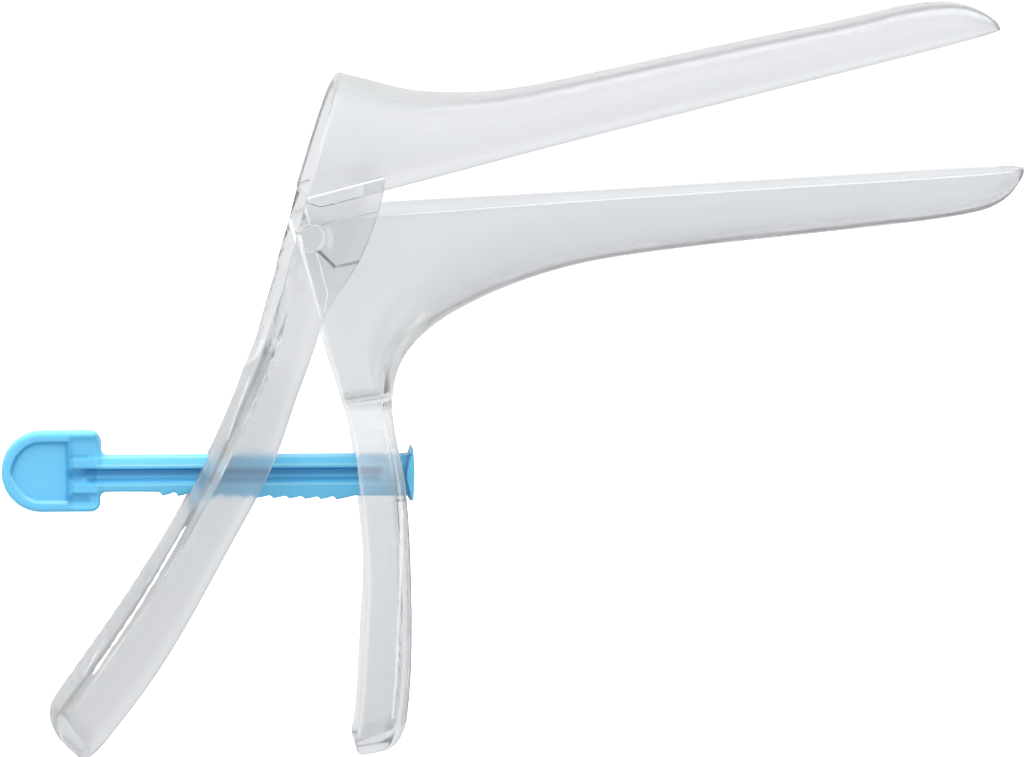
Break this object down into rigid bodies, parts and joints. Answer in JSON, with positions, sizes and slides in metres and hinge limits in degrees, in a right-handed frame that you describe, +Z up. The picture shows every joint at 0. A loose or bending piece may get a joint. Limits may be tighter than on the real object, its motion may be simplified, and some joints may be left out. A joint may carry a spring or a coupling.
{
  "type": "bivalve speculum",
  "caption": "Single-use clear plastic duck-bill speculum: two hinged trough blades with handle and thumb lever, held open by a toothed blue strap with a D-shaped head.",
  "frame": {"origin": "middle of the hinge axis, halfway between the two ears", "axes": "+X along the blades to their tips, +Z up, +Y along the hinge to the far side of the picture; the valves are half open"},
  "size_m": [0.1797, 0.048, 0.1318],
  "materials": {
    "clear_plastic": "clear, fine moulded texture",
    "frosted_plastic": "clear, frosted outside",
    "blue_plastic": "satin"
  },
  "bodies": {
    "lower": {"lower_valve": "clear_plastic"},
    "upper": {"upper_valve": "frosted_plastic"},
    "bar": {"ratchet_bar": "blue_plastic"}
  },
  "joints": [
    {"name": "valve_hinge", "type": "hinge", "parent": "lower", "child": "upper", "pos_m": [0, 0, 0], "axis": [0, -1, 0], "range_deg": [-10.8, 25]},
    {"name": "strap_rock", "type": "hinge", "parent": "lower", "child": "bar", "pos_m": [0.017, 0, -0.0426], "axis": [0, -1, 0], "range_deg": [-5.8, 13.2]}
  ],
  "couplings": [
    {"joint": "strap_rock", "follows": "valve_hinge", "ratio": 0.525}
  ]
}
